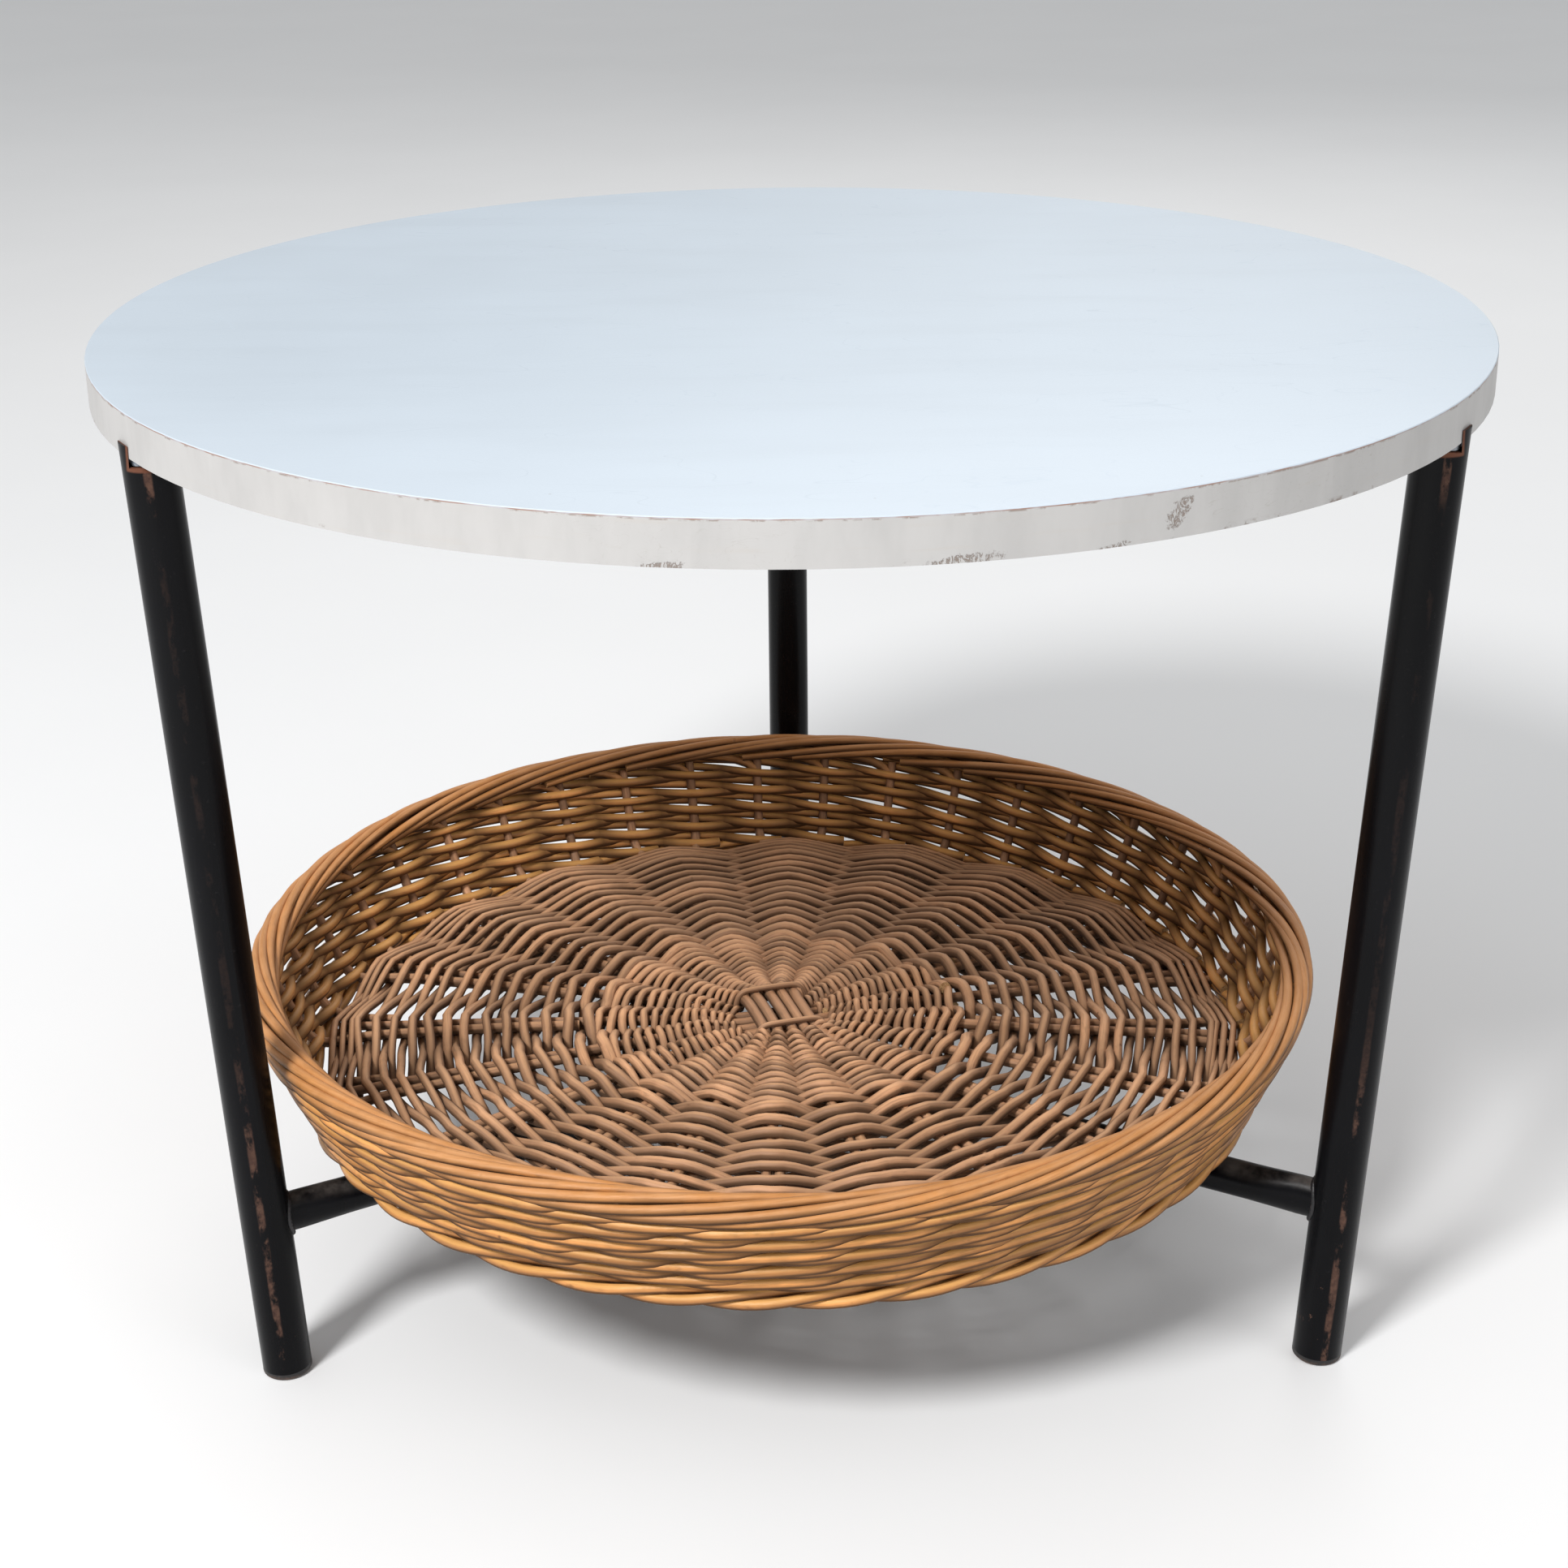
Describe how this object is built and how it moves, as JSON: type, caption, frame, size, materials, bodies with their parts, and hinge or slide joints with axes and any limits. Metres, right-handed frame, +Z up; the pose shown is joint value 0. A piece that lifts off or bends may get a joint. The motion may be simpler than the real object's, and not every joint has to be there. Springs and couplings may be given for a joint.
{
  "type": "coffee table",
  "caption": "Round low table with a pale laminate top on leaning black steel tube legs, and a loose round willow tray that rests on stretcher arms below the top.",
  "frame": {"origin": "on the floor, under the middle of the table top", "axes": "+Z up; the rear leg stands on +Y, the other two to the left and right of -Y"},
  "size_m": [0.5999, 0.6018, 0.45],
  "materials": {
    "laminate": "satin pale blue-white laminate",
    "edge_band": "pale warm grey, slightly scuffed",
    "chipboard": "raw particle board",
    "backing": "matt brown backing sheet",
    "leg_paint": "old black paint, worn to brown along one side",
    "stretcher_paint": "old black paint",
    "foot_cap": "dull black",
    "tab_steel": "dull grey steel",
    "screw_steel": "zinc plated",
    "willow_sticks": "dusty brown willow",
    "willow_base": "dusty pinkish brown willow",
    "willow_side": "golden brown willow, slightly glossy",
    "willow_border": "golden brown willow, dusty on top"
  },
  "bodies": {
    "table_frame": {"top_laminate": "laminate", "top_board": "chipboard", "underside_backing": "backing", "edge_band": "edge_band", "leg_rear": "leg_paint", "leg_left": "leg_paint", "leg_right": "leg_paint", "foot_cap_rear": "foot_cap", "foot_cap_left": "foot_cap", "foot_cap_right": "foot_cap", "mounting_tab_rear": "tab_steel", "mounting_tab_left": "tab_steel", "mounting_tab_right": "tab_steel", "tab_screws": "screw_steel", "stretcher_rear": "stretcher_paint", "stretcher_left": "stretcher_paint", "stretcher_right": "stretcher_paint"},
    "tray": {"base_sticks": "willow_sticks", "base_weave": "willow_base", "upsett_ring": "willow_side", "side_stakes": "willow_sticks", "side_weave": "willow_side", "rolled_border": "willow_border"}
  },
  "joints": [
    {"name": "tray_lift", "type": "slide", "parent": "table_frame", "child": "tray", "axis": [0, 0, 1], "range_m": [0, 0.265]}
  ]
}
